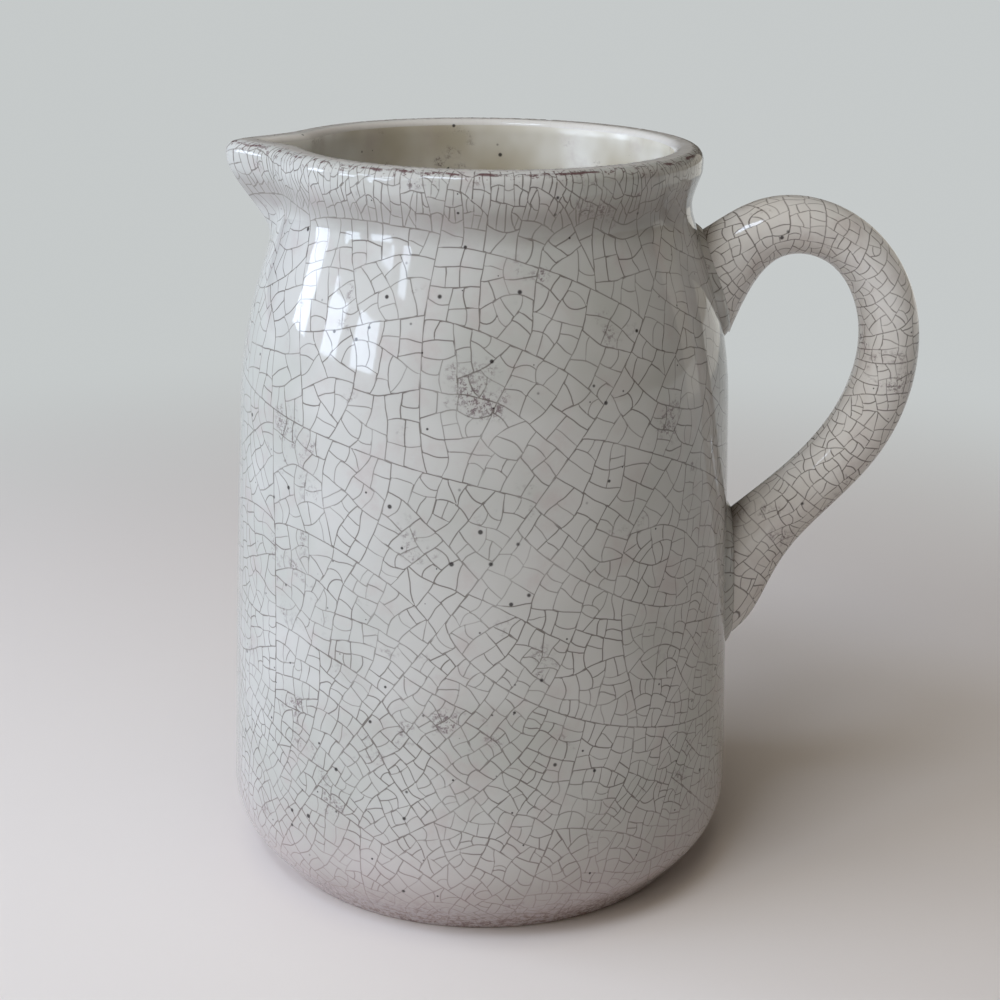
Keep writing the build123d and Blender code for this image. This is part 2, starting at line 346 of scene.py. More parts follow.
class Crackle:
    """Cracks of a shrunken glaze, each across the narrow way of a cell, until the cells are small.

    Places are flat: millimetres round the widest part, and millimetres along the outline.
    """

    SPACING = 1.0                     # between the points of a crack
    TRIES = 6                         # ways to cut a cell, of which the best is taken
    SIZE_SPREAD = (0.75, 1.7)         # how unlike in area the cells are that stay whole
    HEADING_SPREAD, CENTRE_SPREAD = 0.4, 0.1
    SQUARE_SHARE, STRAIGHT_SHARE = 0.8, 0.2      # how a crack leaves an older one
    SMALLEST_HALF = 0.2
    SLANT_WEIGHT = 1.2
    SEAM_DRIFTS = ((3, 31), (1, 9))   # size and length of the first crack's waves
    BOW_SPREAD = 0.10
    LONGEST_PULL = 30.0
    WANDERS = ((2, 0.35), (5, 0.16), (11, 0.07))     # half waves to a crack, and their size
    FINE_STRENGTH, COARSE_STRENGTH = (0.55, 1.0), (0.8, 0.95)
    SEAM_STRENGTH = 0.9
    FINE_FROM = 4                     # times its last size at which a cell's crack counts as fine
    SQUARE_ROUNDNESS = 16             # a square's rounds, squared, over its area
    SHORTEST_WAVE, FULL_WANDER = 2.5, 25

    def __init__(self, girth, low, high, cell_size, tallness, seed):
        self.low, self.high = low, high
        runs = np.arange(low, high + 2, 1.0)
        girths = girth(runs)
        self.widest = float(girths.max())
        self.shares = (girths / self.widest).tolist()
        self.cell_size, self.tallness = cell_size, tallness
        self.random = random.Random(seed)
        self.lines = []

    def stretch(self, run):
        """How many real millimetres round the form one flat millimetre is."""
        return self.shares[int(min(max(run - self.low, 0), len(self.shares) - 1))]

    def seam(self):
        """A wandering crack from edge to edge, where the flat sheet starts and ends."""
        runs = np.linspace(self.low, self.high, int((self.high - self.low) / self.SPACING) + 2)
        drift = sum(
            size * np.sin(runs / length + self.random.uniform(0, 6)) for size, length in self.SEAM_DRIFTS
        )
        return np.stack([drift, runs], -1)

    def open_all(self, largest):
        """Cuts cells across until each is no larger than its place allows, or than largest."""
        seam = self.seam()
        self.lines.append((seam, self.SEAM_STRENGTH))
        top = np.linspace(seam[-1], seam[-1] + (self.widest, 0), int(self.widest / self.SPACING))
        bottom = np.linspace(seam[0] + (self.widest, 0), seam[0], int(self.widest / self.SPACING))
        cells = [np.concatenate([seam, top[1:-1], (seam + (self.widest, 0))[::-1], bottom[1:-1]])]
        while cells:
            cell = cells.pop()
            area, centre = area_and_centre(cell)
            size = max(self.cell_size(centre[0] / self.widest, centre[1]), largest)
            stretch = self.stretch(centre[1])
            if area * stretch > size**2 * self.random.uniform(*self.SIZE_SPREAD):
                cells += self.cut(cell, centre, area * stretch, size)

    def cut(self, cell, centre, area, size):
        """The two halves of a cell, with the crack between them added to the lines."""
        tries = [self.attempt(cell, centre, area) for _ in range(self.TRIES)]
        tries = [made for made in tries if made]
        if not tries:
            return []
        _, line, halves = min(tries, key=lambda made: made[0])
        fine = area < (self.FINE_FROM * size) ** 2
        strength = self.FINE_STRENGTH if fine else self.COARSE_STRENGTH
        self.lines.append((line, self.random.uniform(*strength)))
        return halves

    def attempt(self, cell, centre, area):
        """One way to cut a cell: how poor it is, its line and its halves."""
        scale = np.array([self.stretch(centre[1]) * self.tallness(centre[1]), 1.0])
        real = cell * scale
        heading = narrow_way(real) + self.random.gauss(0, self.HEADING_SPREAD)
        ahead = np.array([math.cos(heading), math.sin(heading)])
        side = np.array([-ahead[1], ahead[0]])
        middle = centre * scale + side * math.sqrt(area) * self.random.gauss(0, self.CENTRE_SPREAD)
        off = (real - middle) @ side
        following = np.roll(off, -1)
        crossed = np.nonzero(off * following < 0)[0]
        share = off[crossed] / (off[crossed] - following[crossed])
        ends = real[crossed] + (np.roll(real, -1, axis=0)[crossed] - real[crossed]) * share[:, None]
        along = (ends - middle) @ ahead
        if not ((along > 0).any() and (along < 0).any()):
            return None
        first = np.where(along < 0, along, -np.inf).argmax()
        last = np.where(along > 0, along, np.inf).argmin()
        start, end = int(crossed[first]), int(crossed[last])
        squares = [self.square(real, start, ahead), self.square(real, end, -ahead)]
        inward = [
            square * self.SQUARE_SHARE + way * self.STRAIGHT_SHARE
            for square, way in zip(squares, (ahead, -ahead))
        ]
        line = self.curve(ends[first], ends[last], inward)
        halves = [
            np.concatenate([line, ring_part(real, end + 1, start)]),
            np.concatenate([line[::-1], ring_part(real, start + 1, end)]),
        ]
        areas = [area_and_centre(half)[0] for half in halves]
        if min(areas) < self.SMALLEST_HALF * sum(areas):
            return None
        rounds = [np.linalg.norm(half - np.roll(half, -1, axis=0), axis=1).sum() for half in halves]
        stretched = sum(length**2 / surface for length, surface in zip(rounds, areas))
        stretched /= 2 * self.SQUARE_ROUNDNESS
        slanted = 2 - squares[0] @ ahead + squares[1] @ ahead
        uneven = max(areas) / sum(areas)
        poorness = stretched + self.SLANT_WEIGHT * slanted + uneven
        return poorness, line / scale, [half / scale for half in halves]

    def square(self, real, index, way):
        """The direction into a cell from a border point, square to the border."""
        before, after = real[index - 1], real[(index + 2) % len(real)]
        border = (after - before) / max(np.linalg.norm(after - before), 1e-9)
        square = np.array([-border[1], border[0]])
        return square if square @ way > 0 else -square

    def curve(self, start, end, inward):
        """A smooth line between two border points, bowed a little to one side."""
        length = np.linalg.norm(end - start)
        share = np.linspace(0, 1, max(4, int(length / self.SPACING) + 2))[:, None]
        across = np.array([start[1] - end[1], end[0] - start[0]])
        bow = self.random.gauss(0, self.BOW_SPREAD)
        pull = min(length, self.LONGEST_PULL)
        line = (
            (2 * share**3 - 3 * share**2 + 1) * start
            + (share**3 - 2 * share**2 + share) * inward[0] * pull
            + (3 * share**2 - 2 * share**3) * end
            - (share**3 - share**2) * inward[1] * pull
        )
        wander = 0.0
        for waves, size in self.WANDERS:
            if length > waves * self.SHORTEST_WAVE:
                wander = wander + size * np.sin(share * math.pi * waves + self.random.uniform(0, 6))
        hold = np.sin(share * math.pi)
        wander = wander * min(1, length / self.FULL_WANDER)
        return line + hold * (bow + wander / max(length, 1)) * across

    def nearest_line(self, reach):
        """A test of whether any line passes within reach of a flat place."""
        taken = set()
        for line, _ in self.lines:
            for x, y in line:
                taken.add((int(x % self.widest / reach), int(y / reach)))
        columns = int(self.widest / reach)

        def near(x, y):
            column, row = int(x % self.widest / reach), int(y / reach)
            return any(
                ((column + c) % (columns + 1), row + r) in taken for c in (-1, 0, 1) for r in (-1, 0, 1)
            )

        return near


def area_and_centre(ring):
    """Area of a closed ring of points and its centre."""
    here, there = ring, np.roll(ring, -1, axis=0)
    cross = here[:, 0] * there[:, 1] - there[:, 0] * here[:, 1]
    area = cross.sum() / 2
    if abs(area) < 1e-9:
        return 0.0, ring.mean(0)
    return abs(area), ((here + there) * cross[:, None]).sum(0) / (6 * area)


def narrow_way(ring):
    """Direction across the narrow way of a ring of points."""
    here, there = ring, np.roll(ring, -1, axis=0)
    middle = (here + there) / 2
    weight = np.linalg.norm(there - here, axis=1)
    middle = middle - (middle * weight[:, None]).sum(0) / weight.sum()
    spread = (middle * weight[:, None]).T @ middle
    _, ways = np.linalg.eigh(spread)
    return math.atan2(ways[1, 0], ways[0, 0])


def ring_part(ring, first, last):
    """Points of a ring from first to last, going round its end."""
    count = len(ring)
    size = (last - first) % count + 1
    return ring[(first + np.arange(size)) % count]


def thinned(places, first, last, tolerance, kept):
    """Marks the points of a line in space that it needs to stay within a tolerance."""
    if last - first < 2:
        return
    along = places[last] - places[first]
    offsets = places[first + 1 : last] - places[first]
    share = np.clip(offsets @ along / max(along @ along, 1e-9), 0, 1)
    away = np.linalg.norm(offsets - share[:, None] * along, axis=1)
    worst = int(away.argmax())
    if away[worst] > tolerance:
        middle = first + 1 + worst
        kept[middle] = True
        thinned(places, first, middle, tolerance, kept)
        thinned(places, middle, last, tolerance, kept)


def crack_strips(crackle, points_at, half_width):
    """Centre line and two edges of every crack, in flat millimetres, as (points, strength)."""
    strips = []
    tiny = 1e-6
    for line, strength in crackle.lines:
        kept = np.zeros(len(line), bool)
        kept[[0, -1]] = True
        thinned(points_at(line[:, 0] / crackle.widest, line[:, 1]), 0, len(line) - 1, CHORD_DEPTH, kept)
        flat = line[kept]
        ahead = np.gradient(flat, axis=0)
        stretch = np.array([crackle.stretch(run) for run in flat[:, 1]])
        real = np.stack([ahead[:, 0] * stretch, ahead[:, 1]], -1)
        real /= np.maximum(np.linalg.norm(real, axis=1), 1e-9)[:, None]
        side = np.stack([-real[:, 1] / stretch, real[:, 0]], -1) * half_width
        strips.append((flat, strength))
        for sign in (-1, 1):
            edge = flat + side * sign
            start, end = edge[0].copy(), edge[-1].copy()
            trim = min(MOST_TRIMMED, half_width / max(np.linalg.norm(edge[1] - start), tiny))
            edge[0] = start + (edge[1] - start) * trim
            trim = min(MOST_TRIMMED, half_width / max(np.linalg.norm(edge[-2] - end), tiny))
            edge[-1] = end + (edge[-2] - end) * trim
            strips.append((edge, 0.0))
    return strips


def cut_at_seams(points, strength, widest):
    """Pieces of a line on a form that closes on itself, each between its two seams."""
    pieces, piece = [], []
    for here, there in zip(points, points[1:]):
        sheet, next_sheet = math.floor(here[0] / widest), math.floor(there[0] / widest)
        piece.append((here[0] - sheet * widest, here[1]))
        if sheet != next_sheet:
            seam = max(sheet, next_sheet) * widest
            share = (seam - here[0]) / (there[0] - here[0])
            run = here[1] + (there[1] - here[1]) * share
            piece.append((widest if next_sheet > sheet else 0.0, run))
            pieces.append((piece, strength))
            piece = [(0.0 if next_sheet > sheet else widest, run)]
    last = points[-1]
    piece.append((last[0] - math.floor(last[0] / widest) * widest, last[1]))
    pieces.append((piece, strength))
    return pieces


def flat_grid(crackle, spacing):
    """Points between the cracks, close together where the surface bends, and the border's points."""
    low, high, widest = crackle.low, crackle.high, crackle.widest
    near_line = crackle.nearest_line(CLEAR_OF_CRACKS)
    runs = [low]
    while runs[-1] < high - SHORTEST_ROW:
        runs.append(min(high, runs[-1] + spacing(ROWS_SET_AT, runs[-1])[1]))
    runs[-1] = high
    points = []
    for i, run in enumerate(runs):
        border = i in (0, len(runs) - 1)
        girth = crackle.stretch(run) * widest
        turn, turns = 0.0, [0.0]
        while turn < 1:
            turn += spacing(turn, run)[0] / girth
            turns.append(turn)
        turns = np.array(turns) / turns[-1]
        if i % 2:
            turns = np.concatenate([[0], (turns[1:] + turns[:-1]) / 2, [1]])
        for turn in turns:
            if border or turn in (0, 1) or not near_line(turn * widest, run):
                points.append((float(turn) * widest, float(run)))
    return points


def crackled_mesh(name, points_at, girth, low, high, cell_size, tallness, seed, spacing):
    """A closed form's surface with its cracks drawn into the mesh as an attribute."""
    crackle = Crackle(girth, low, high, cell_size, tallness, seed)
    crackle.open_all(0)
    widest = crackle.widest
    coords = [Vector(point) for point in flat_grid(crackle, spacing)]
    edges, drawn = [], []
    for line, strength in crack_strips(crackle, points_at, CRACK_HALF_WIDTH):
        for piece, value in cut_at_seams(line, strength, widest):
            start = len(coords)
            for x, y in piece:
                coords.append(Vector((min(max(x, 0.0), widest), min(max(y, low), high))))
            edges += [(i, i + 1) for i in range(start, len(coords) - 1)]
            drawn += [value] * (len(coords) - 1 - start)
    verts, out_edges, faces, _, origins, _ = delaunay_2d_cdt(coords, edges, [], 0, CLOSEST_POINTS)
    flat = np.array([tuple(v) for v in verts])
    crack = np.zeros(len(verts))
    for (a, b), ids in zip(out_edges, origins):
        value = max((drawn[i] for i in ids if i < len(drawn)), default=0.0)
        crack[a] = max(crack[a], value)
        crack[b] = max(crack[b], value)
    return surface_mesh(name, points_at, flat[:, 0] / widest, flat[:, 1], faces, crack, low, high)


def surface_mesh(name, points_at, turn, run, faces, crack, low, high):
    """A mesh on a form's surface, with the normals, shading values and map of that form."""
    places = points_at(turn, run)
    turned = SURFACE_STEP / 100
    around = points_at(turn + turned, run) - points_at(turn - turned, run)
    along = points_at(turn, run + SURFACE_STEP) - points_at(turn, run - SURFACE_STEP)
    normals = np.cross(around, along)
    normals /= np.maximum(np.linalg.norm(normals, axis=1), 1e-12)[:, None]
    middle = places.mean(0)
    if ((places - middle) * normals).sum() < 0:
        normals = -normals
    places = places - normals * crack[:, None] * CRACK_DEPTH
    faces = np.array([f for f in faces if len(f) == 3]) if len(faces[0]) == 3 else np.array(faces)
    corners = places[faces]
    facing = np.cross(corners[:, 1] - corners[:, 0], corners[:, 2] - corners[:, 0])
    flip = (facing * normals[faces[:, 0]]).sum(1) < 0
    faces[flip] = faces[flip][:, ::-1]
    mesh = bpy.data.meshes.new(name)
    mesh.from_pydata((places * MM).tolist(), [], faces.tolist())
    for label, values in (("crack", crack), ("along", (run - low) / (high - low))):
        mesh.attributes.new(label, "FLOAT", "POINT").data.foreach_set("value", values.astype(np.float32))
    shade = mesh.attributes.new("shade", "FLOAT_VECTOR", "POINT")
    shade.data.foreach_set("vector", normals.astype(np.float32).ravel())
    layer = mesh.uv_layers.new(name="OFBake")
    corner = np.zeros(len(mesh.loops), int)
    mesh.loops.foreach_get("vertex_index", corner)
    uv = np.stack([turn[corner], (run[corner] - low) / (high - low)], -1)
    layer.uv.foreach_set("vector", uv.astype(np.float32).ravel())
    welded(mesh)
    return mesh


def welded(mesh):
    """Joins a mesh along its seam and gives it the smooth normals that it carries."""
    work = bmesh.new()
    work.from_mesh(mesh)
    bmesh.ops.remove_doubles(work, verts=work.verts, dist=WELD * MM)
    work.to_mesh(mesh)
    work.free()
    normals = np.zeros(len(mesh.vertices) * 3, np.float32)
    mesh.attributes["shade"].data.foreach_get("vector", normals)
    mesh.shade_smooth()
    mesh.normals_split_custom_set_from_vertices(normals.reshape(-1, 3).tolist())
    mesh.attributes.remove(mesh.attributes["shade"])


def grid_mesh(name, points_at, low, high, columns, rows):
    """A closed form's surface as a plain grid."""
    turn, run = np.meshgrid(np.linspace(0, 1, columns + 1), np.linspace(low, high, rows + 1))
    first = np.arange(rows * (columns + 1)).reshape(rows, columns + 1)[:, :-1].ravel()
    faces = np.stack([first, first + 1, first + columns + 2, first + columns + 1], -1)
    return surface_mesh(name, points_at, turn.ravel(), run.ravel(), faces, np.zeros(turn.size), low, high)


HEIGHT_TABLE = [float(OUTLINE.at(run)[1]) for run in range(int(OUTLINE.length) + 2)]


def vessel_cell(turn, run):
    """Width of the largest cells that stay whole on the vessel."""
    height = HEIGHT_TABLE[int(run)]
    if run > CROWN_EDGE + CROWN_CELLS_FROM:
        return CROWN_CELL
    if height > RIM_CELLS_FROM:
        return RIM_CELL
    return FOOT_CELL + CELL_GROWTH * min(max((height - GROWTH_FROM) / GROWTH_OVER, 0), 1)


def vessel_tallness(run):
    """How much taller than wide the cells are."""
    return RIM_TALLNESS if HEIGHT_TABLE[int(run)] > RIM_CELLS_FROM else 1.0


def vessel_spacing(turn, run):
    """How far apart the mesh's points are, around and along."""
    height = HEIGHT_TABLE[int(run)]
    by_lip = height > LIP_ROOT_HEIGHT and abs(turn - 0.5) < LIP_SHARE
    around = LIP_STEP if by_lip else WALL_STEP
    if run > CROWN_EDGE - RIM_OUTER_ROUND:
        return min(around, CROWN_STEP), CROWN_ROW
    if height > LIP_ROOT_HEIGHT:
        return around, NECK_ROW
    return around, (WALL_ROW if height > FOOT_ROWS_TO else FOOT_ROW)


def handle_cell(turn, run):
    return HANDLE_CELL


def even_cells(run):
    return 1.0


def handle_spacing(turn, run):
    return HANDLE_STEPS


def lute_form(height, length, width):
    """The slip squeezed out round one end of the handle: its surface, its girth and its reach."""
    reach = (length + width) / 4

    def points_at(turn, run):
        angle = 2 * math.pi * turn
        share = run / reach
        z = height + np.cos(angle) * share * length / 2
        radius = wall_radius(z) + LUTE_PROUD * (1 - share**LUTE_FLATNESS) - LUTE_SUNK
        round_wall = np.sin(angle) * share * width / 2 / radius
        return np.stack([radius * np.cos(round_wall), radius * np.sin(round_wall), z], -1)

    return points_at, lambda run: 2 * math.pi * run, reach


def lute_spacing(turn, run):
    return LUTE_STEPS


def finished(mesh, material, slot, *replaced):
    """Puts a mesh on the pitcher's body with its finish, in place of the solids that it stands for."""
    piece = bpy.data.objects.new(mesh.name, mesh)
    bpy.context.scene.collection.objects.link(piece)
    mesh.materials.append(material)
    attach(piece, "root")
    if replaced:
        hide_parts(*replaced)


class Shader:
    """A material's nodes, linked as they are made."""

    def __init__(self, name):
        self.material = bpy.data.materials.new(name)
        self.material.use_nodes = True
        self.tree = self.material.node_tree
        self.tree.nodes.clear()
        self.output = self.tree.nodes.new("ShaderNodeOutputMaterial")

    def node(self, kind, settings=None, **inputs):
        made = self.tree.nodes.new(kind)
        for key, value in (settings or {}).items():
            setattr(made, key, value)
        for key, value in inputs.items():
            numbered = key[0] == "i" and key[1:].isdigit()
            self.plug(made.inputs[int(key[1:]) if numbered else key], value)
        return made

    def plug(self, socket, value):
        if isinstance(value, bpy.types.NodeSocket):
            self.tree.links.new(value, socket)
        else:
            socket.default_value = value

    def math(self, operation, first, second=0.0):
        return self.node("ShaderNodeMath", {"operation": operation}, i0=first, i1=second).outputs[0]

    def times(self, first, second):
        return self.math("MULTIPLY", first, second)

    def rest(self, share):
        """What a share leaves of 1."""
        return self.math("SUBTRACT", 1.0, share)

    def mix(self, share, first, second):
        made = self.node("ShaderNodeMix", {"data_type": "RGBA"})
        self.plug(made.inputs[0], share)
        self.plug(made.inputs[6], first)
        self.plug(made.inputs[7], second)
        return made.outputs[2]

    def smooth(self, value, low, high):
        """0 below low, 1 above high, smooth between."""
        made = self.node("ShaderNodeMapRange", {"interpolation_type": "SMOOTHSTEP"})
        for index, item in enumerate((value, low, high, 0.0, 1.0)):
            self.plug(made.inputs[index], item)
        return made.outputs[0]

    def noise(self, place, scale, detail=2.0, rough=0.5):
        return self.node(
            "ShaderNodeTexNoise", None, Vector=place, Scale=scale, Detail=detail, Roughness=rough
        ).outputs["Fac"]

    def pattern(self, place, kind):
        """Where a pattern of the glaze has set in, from 0 to 1."""
        scale, detail, rough, low, high = kind
        return self.smooth(self.noise(place, scale, detail, rough), low, high)

    def sway(self, place, kind):
        """A soft wavering to both sides of 0."""
        scale, detail, size = kind
        return self.times(self.math("SUBTRACT", self.noise(place, scale, detail), 0.5), size)

    def attribute(self, name):
        return self.node("ShaderNodeAttribute", {"attribute_name": name}).outputs["Fac"]

    def place(self):
        """The place in the object, in metres."""
        return self.node("ShaderNodeTexCoord").outputs["Object"]


def srgb(*channels):
    """A colour written as it looks, for a shader."""
    return tuple(((v + 0.055) / 1.055) ** 2.4 if v > 0.04045 else v / 12.92 for v in channels) + (1.0,)


PALE_GLAZE = srgb(0.752, 0.750, 0.742)
GREY_GLAZE = srgb(0.695, 0.697, 0.680)
CREAM_GLAZE = srgb(0.820, 0.805, 0.788)
# paler than the vessel's glaze: partly the handle's own creamier tone, partly painted light that brightens
# the whole handle
HANDLE_GLAZE = srgb(0.885, 0.878, 0.872)
LINER_GLAZE = srgb(0.915, 0.912, 0.895)
LINER_STAIN = srgb(0.710, 0.675, 0.600)
CRACK_STAIN = srgb(0.400, 0.372, 0.355)
PIT_STAIN = srgb(0.16, 0.13, 0.14)
SMUDGE_STAIN = srgb(0.39, 0.32, 0.34)
# the colour of the painted shade in creases
PAINTED_CREASE_SHADE = srgb(0.33, 0.28, 0.26)
BLUSH = srgb(0.68, 0.61, 0.61)
FOOT_IRON = srgb(0.45, 0.33, 0.31)
BARE_CLAY = srgb(0.62, 0.50, 0.42)
RIM_IRON = srgb(0.35, 0.24, 0.25)
# the colour of the painted shade in the neck's hollow
PAINTED_HOLLOW_SHADE = srgb(0.50, 0.47, 0.45)

# Patterns in the glaze: how many to a metre, detail, roughness, and the values between which each sets in.
CLOUDS = (22.0, 3.0, 0.5, 0.35, 0.68)
PATCHES = (75.0, 5.0, 0.6, 0.50, 0.76)
STAINS = (46.0, 4.0, 0.6, 0.595, 0.70)
SPECKLE = (760.0, 4.0, 0.75, 0.46, 0.60)
CRACK_FADING = (55.0, 3.0, 0.5, 0.25, 0.62)
PIT_CROWDS = (24.0, 2.0, 0.5, 0.42, 0.62)
RIM_BREAKS = (115.0, 6.0, 0.75, 0.45, 0.55)
RIM_CRUMBS = (560.0, 3.0, 0.7, 0.57, 0.65)
FOOT_GRAINS = (420.0, 5.0, 0.75, 0.45, 0.58)
# Waverings: how many to a metre, detail and size.
RIM_SWAY = (150.0, 4.0, 0.010)
FOOT_SWAY = (40.0, 5.0, 0.06)
RIPPLES, RIPPLE_STRENGTH, RIPPLE_HEIGHT = (60.0, 2.0), 0.30, 0.0006
CLAY_GRAIN = (260.0, 5.0, 0.6)
# How strongly each mark covers the glaze below it.
# of these, the crease and hollow covers set how strong the painted shade is
PATCH_COVER, SMUDGE_COVER, PIT_COVER, CREASE_SHADE_COVER = 0.34, 0.8, 0.9, 0.85
CREAM_COVER, WEAR_COVER, CRUMB_COVER, HOLLOW_SHADE_COVER = 0.92, 0.9, 0.75, 0.42
BLUSH_COVER, GRAIN_COVER = 0.65, 0.75
FAINT_CRACK, CRACK_GAIN, CRACK_EDGE = 0.5, 0.4, (0.05, 0.80)
PITS_PER_METRE = 180.0
PIT_CROWDING, PIT_CHOICE = 0.35, 0.57
SMALL_PIT, PIT_GROWTH, PIT_EDGE = 0.052, 0.110, (0.55, 1.15)
# painted crease shade from ambient occlusion: how far it looks, its samples, and the openness between
# which it fades
CREASE_REACH, CREASE_SAMPLES, CREASE_OPENING = 0.011, 6, (0.30, 0.82)
CREASE_HEIGHTS = (0.010, 0.040)          # metres above the table between which the painted crease shade sets in
GLOSS, LINER_GLOSS, MATT = 0.055, 0.2, 0.8
GLAZE_INDEX = 1.5
# Shares of the glaze's run from the foot, beside the crown's edge, the neck's hollow and the foot.
CREAM_BEYOND = (0.006, 0.012)
WEAR_AT, WEAR_WIDTH, CRUMBS_WIDTH = 0.002, (0.0006, 0.0030), (0.003, 0.016)
WEAR_DEPTHS, WEAR_LOST = (0.0, 0.05), 0.75         # metres back from the middle, where less is worn
HOLLOW_WIDTH = (0.006, 0.032)
BLUSH_RUN, GRAIN_RUN = (0.0, 0.22), (0.0, 0.085)


def glaze_shader(name, base, clouds=GREY_GLAZE, cracks=True):
    """A glaze's first layers: a little cloudy, with smudges and stained cracks."""
    s = Shader(name)
    place = s.place()
    colour = s.mix(s.pattern(place, CLOUDS), base, clouds)
    colour = s.mix(s.times(s.pattern(place, PATCHES), PATCH_COVER), colour, BLUSH)
    stained = s.pattern(place, STAINS)
    smudge = s.times(stained, s.pattern(place, SPECKLE))
    colour = s.mix(s.times(smudge, SMUDGE_COVER), colour, SMUDGE_STAIN)
    if cracks:
        dark = s.math("MAXIMUM", s.pattern(place, CRACK_FADING), stained)
        depth = s.math("ADD", s.times(dark, CRACK_GAIN), FAINT_CRACK)
        line = s.smooth(s.attribute("crack"), *CRACK_EDGE)
        colour = s.mix(s.times(line, depth), colour, CRACK_STAIN)
    return s, place, colour


def with_pits(s, place, colour):
    """Small dark pinholes, thicker on the ground in some places."""
    spots = s.node("ShaderNodeTexVoronoi", {"feature": "F1"}, Vector=place, Scale=PITS_PER_METRE)
    pick, wide, _ = s.node("ShaderNodeSeparateColor", Color=spots.outputs["Color"]).outputs
    crowd = s.times(s.pattern(place, PIT_CROWDS), PIT_CROWDING)
    chosen = s.math("GREATER_THAN", s.math("ADD", pick, crowd), PIT_CHOICE)
    size = s.math("ADD", s.times(s.times(wide, wide), PIT_GROWTH), SMALL_PIT)
    dot = s.rest(s.smooth(s.math("DIVIDE", spots.outputs["Distance"], size), *PIT_EDGE))
    return s.mix(s.times(s.times(dot, chosen), PIT_COVER), colour, PIT_STAIN)


def with_painted_crease_shade(s, place, colour):
    """Painted shade where two surfaces meet and shut out each other's light, above the foot."""
    nook = s.node("ShaderNodeAmbientOcclusion", {"samples": CREASE_SAMPLES}, Distance=CREASE_REACH)
    painted_shade = s.rest(s.smooth(nook.outputs["AO"], *CREASE_OPENING))
    height = s.node("ShaderNodeSeparateXYZ", Vector=place).outputs["Z"]
    above = s.times(s.smooth(height, *CREASE_HEIGHTS), CREASE_SHADE_COVER)
    return s.mix(s.times(painted_shade, above), colour, PAINTED_CREASE_SHADE)


def coat(s, colour, roughness, **looks):
    """Ends a material with its colour and gloss."""
    surface = s.node("ShaderNodeBsdfPrincipled", Roughness=roughness, **looks)
    s.plug(surface.inputs["Base Color"], colour)
    s.tree.links.new(surface.outputs[0], s.output.inputs["Surface"])
    return s.material


def glossy(s, place, colour, roughness=GLOSS):
    """Ends a glaze: pits, painted shade in creases and gloss over a slightly rippled surface."""
    colour = with_painted_crease_shade(s, place, with_pits(s, place, colour))
    wave = s.noise(place, *RIPPLES)
    bump = s.node("ShaderNodeBump", Strength=RIPPLE_STRENGTH, Distance=RIPPLE_HEIGHT, Height=wave)
    return coat(s, colour, roughness, IOR=GLAZE_INDEX, Normal=bump.outputs[0])


def glaze_share(run):
    """Where a run along the outline lies on the outer glaze, from 0 at the foot to 1."""
    return (run - GLAZE_FOOT) / (GLAZE_TOP - GLAZE_FOOT)


def with_rim(s, place, along, ragged, colour):
    """A cream crown, and iron brown where its edge is worn, less so at the back."""
    edge = glaze_share(CROWN_EDGE)
    top = s.smooth(along, *(edge + beyond for beyond in CREAM_BEYOND))
    colour = s.mix(s.times(top, CREAM_COVER), colour, CREAM_GLAZE)
    off = s.math("ABSOLUTE", s.math("ADD", s.math("SUBTRACT", along, edge + WEAR_AT), ragged))
    worn = s.rest(s.smooth(off, *WEAR_WIDTH))
    depth = s.node("ShaderNodeSeparateXYZ", Vector=place).outputs["Y"]
    kept = s.rest(s.times(s.smooth(depth, *WEAR_DEPTHS), WEAR_LOST))
    broken = s.times(s.pattern(place, RIM_BREAKS), kept)
    colour = s.mix(s.times(s.times(worn, broken), WEAR_COVER), colour, RIM_IRON)
    beside = s.rest(s.smooth(off, *CRUMBS_WIDTH))
    crumbs = s.times(beside, s.pattern(place, RIM_CRUMBS))
    return s.mix(s.times(crumbs, CRUMB_COVER), colour, RIM_IRON)


def with_painted_hollow_shade(s, along, ragged, colour):
    """Painted shade in the hollow of the neck, under the rim's band."""
    neck = glaze_share(OUTLINE.nearest(NECK_RADIUS + 1, NECK_HEIGHT + 3))
    under = s.math("ABSOLUTE", s.math("SUBTRACT", s.math("ADD", along, s.times(ragged, 2.0)), neck))
    hollow = s.rest(s.smooth(under, *HOLLOW_WIDTH))
    return s.mix(s.times(hollow, HOLLOW_SHADE_COVER), colour, PAINTED_HOLLOW_SHADE)


def with_foot(s, place, along, colour):
    """The blush and the iron grains of the clay, where the glaze thins towards the foot."""
    low = s.math("ADD", along, s.sway(place, FOOT_SWAY))
    blush = s.rest(s.smooth(low, *BLUSH_RUN))
    colour = s.mix(s.times(blush, BLUSH_COVER), colour, BLUSH)
    thin = s.rest(s.smooth(low, *GRAIN_RUN))
    grains = s.times(thin, s.pattern(place, FOOT_GRAINS))
    return s.mix(s.times(grains, GRAIN_COVER), colour, FOOT_IRON)


def vessel_glaze():
    """The vessel's glaze, worn along the rim and blushed at the foot."""
    s, place, colour = glaze_shader("crackle_glaze", PALE_GLAZE)
    along = s.attribute("along")
    ragged = s.sway(place, RIM_SWAY)
    colour = with_rim(s, place, along, ragged, colour)
    # painted shade in the neck's hollow under the rim band
    colour = with_painted_hollow_shade(s, along, ragged, colour)
    return glossy(s, place, with_foot(s, place, along, colour))


def handle_glaze():
    # the handle's paler glaze is partly painted light
    return glossy(*glaze_shader("handle_glaze", HANDLE_GLAZE, CREAM_GLAZE))


def liner_glaze():
    return glossy(*glaze_shader("liner_glaze", LINER_GLAZE, LINER_STAIN, cracks=False), LINER_GLOSS)


def lute_glaze():
    return glossy(*glaze_shader("lute_glaze", PALE_GLAZE))


def bare_clay():
    """Unglazed grainy clay under the foot."""
    s = Shader("bare_clay")
    grain = s.noise(s.place(), *CLAY_GRAIN)
    return coat(s, s.mix(grain, BARE_CLAY, BLUSH), MATT)


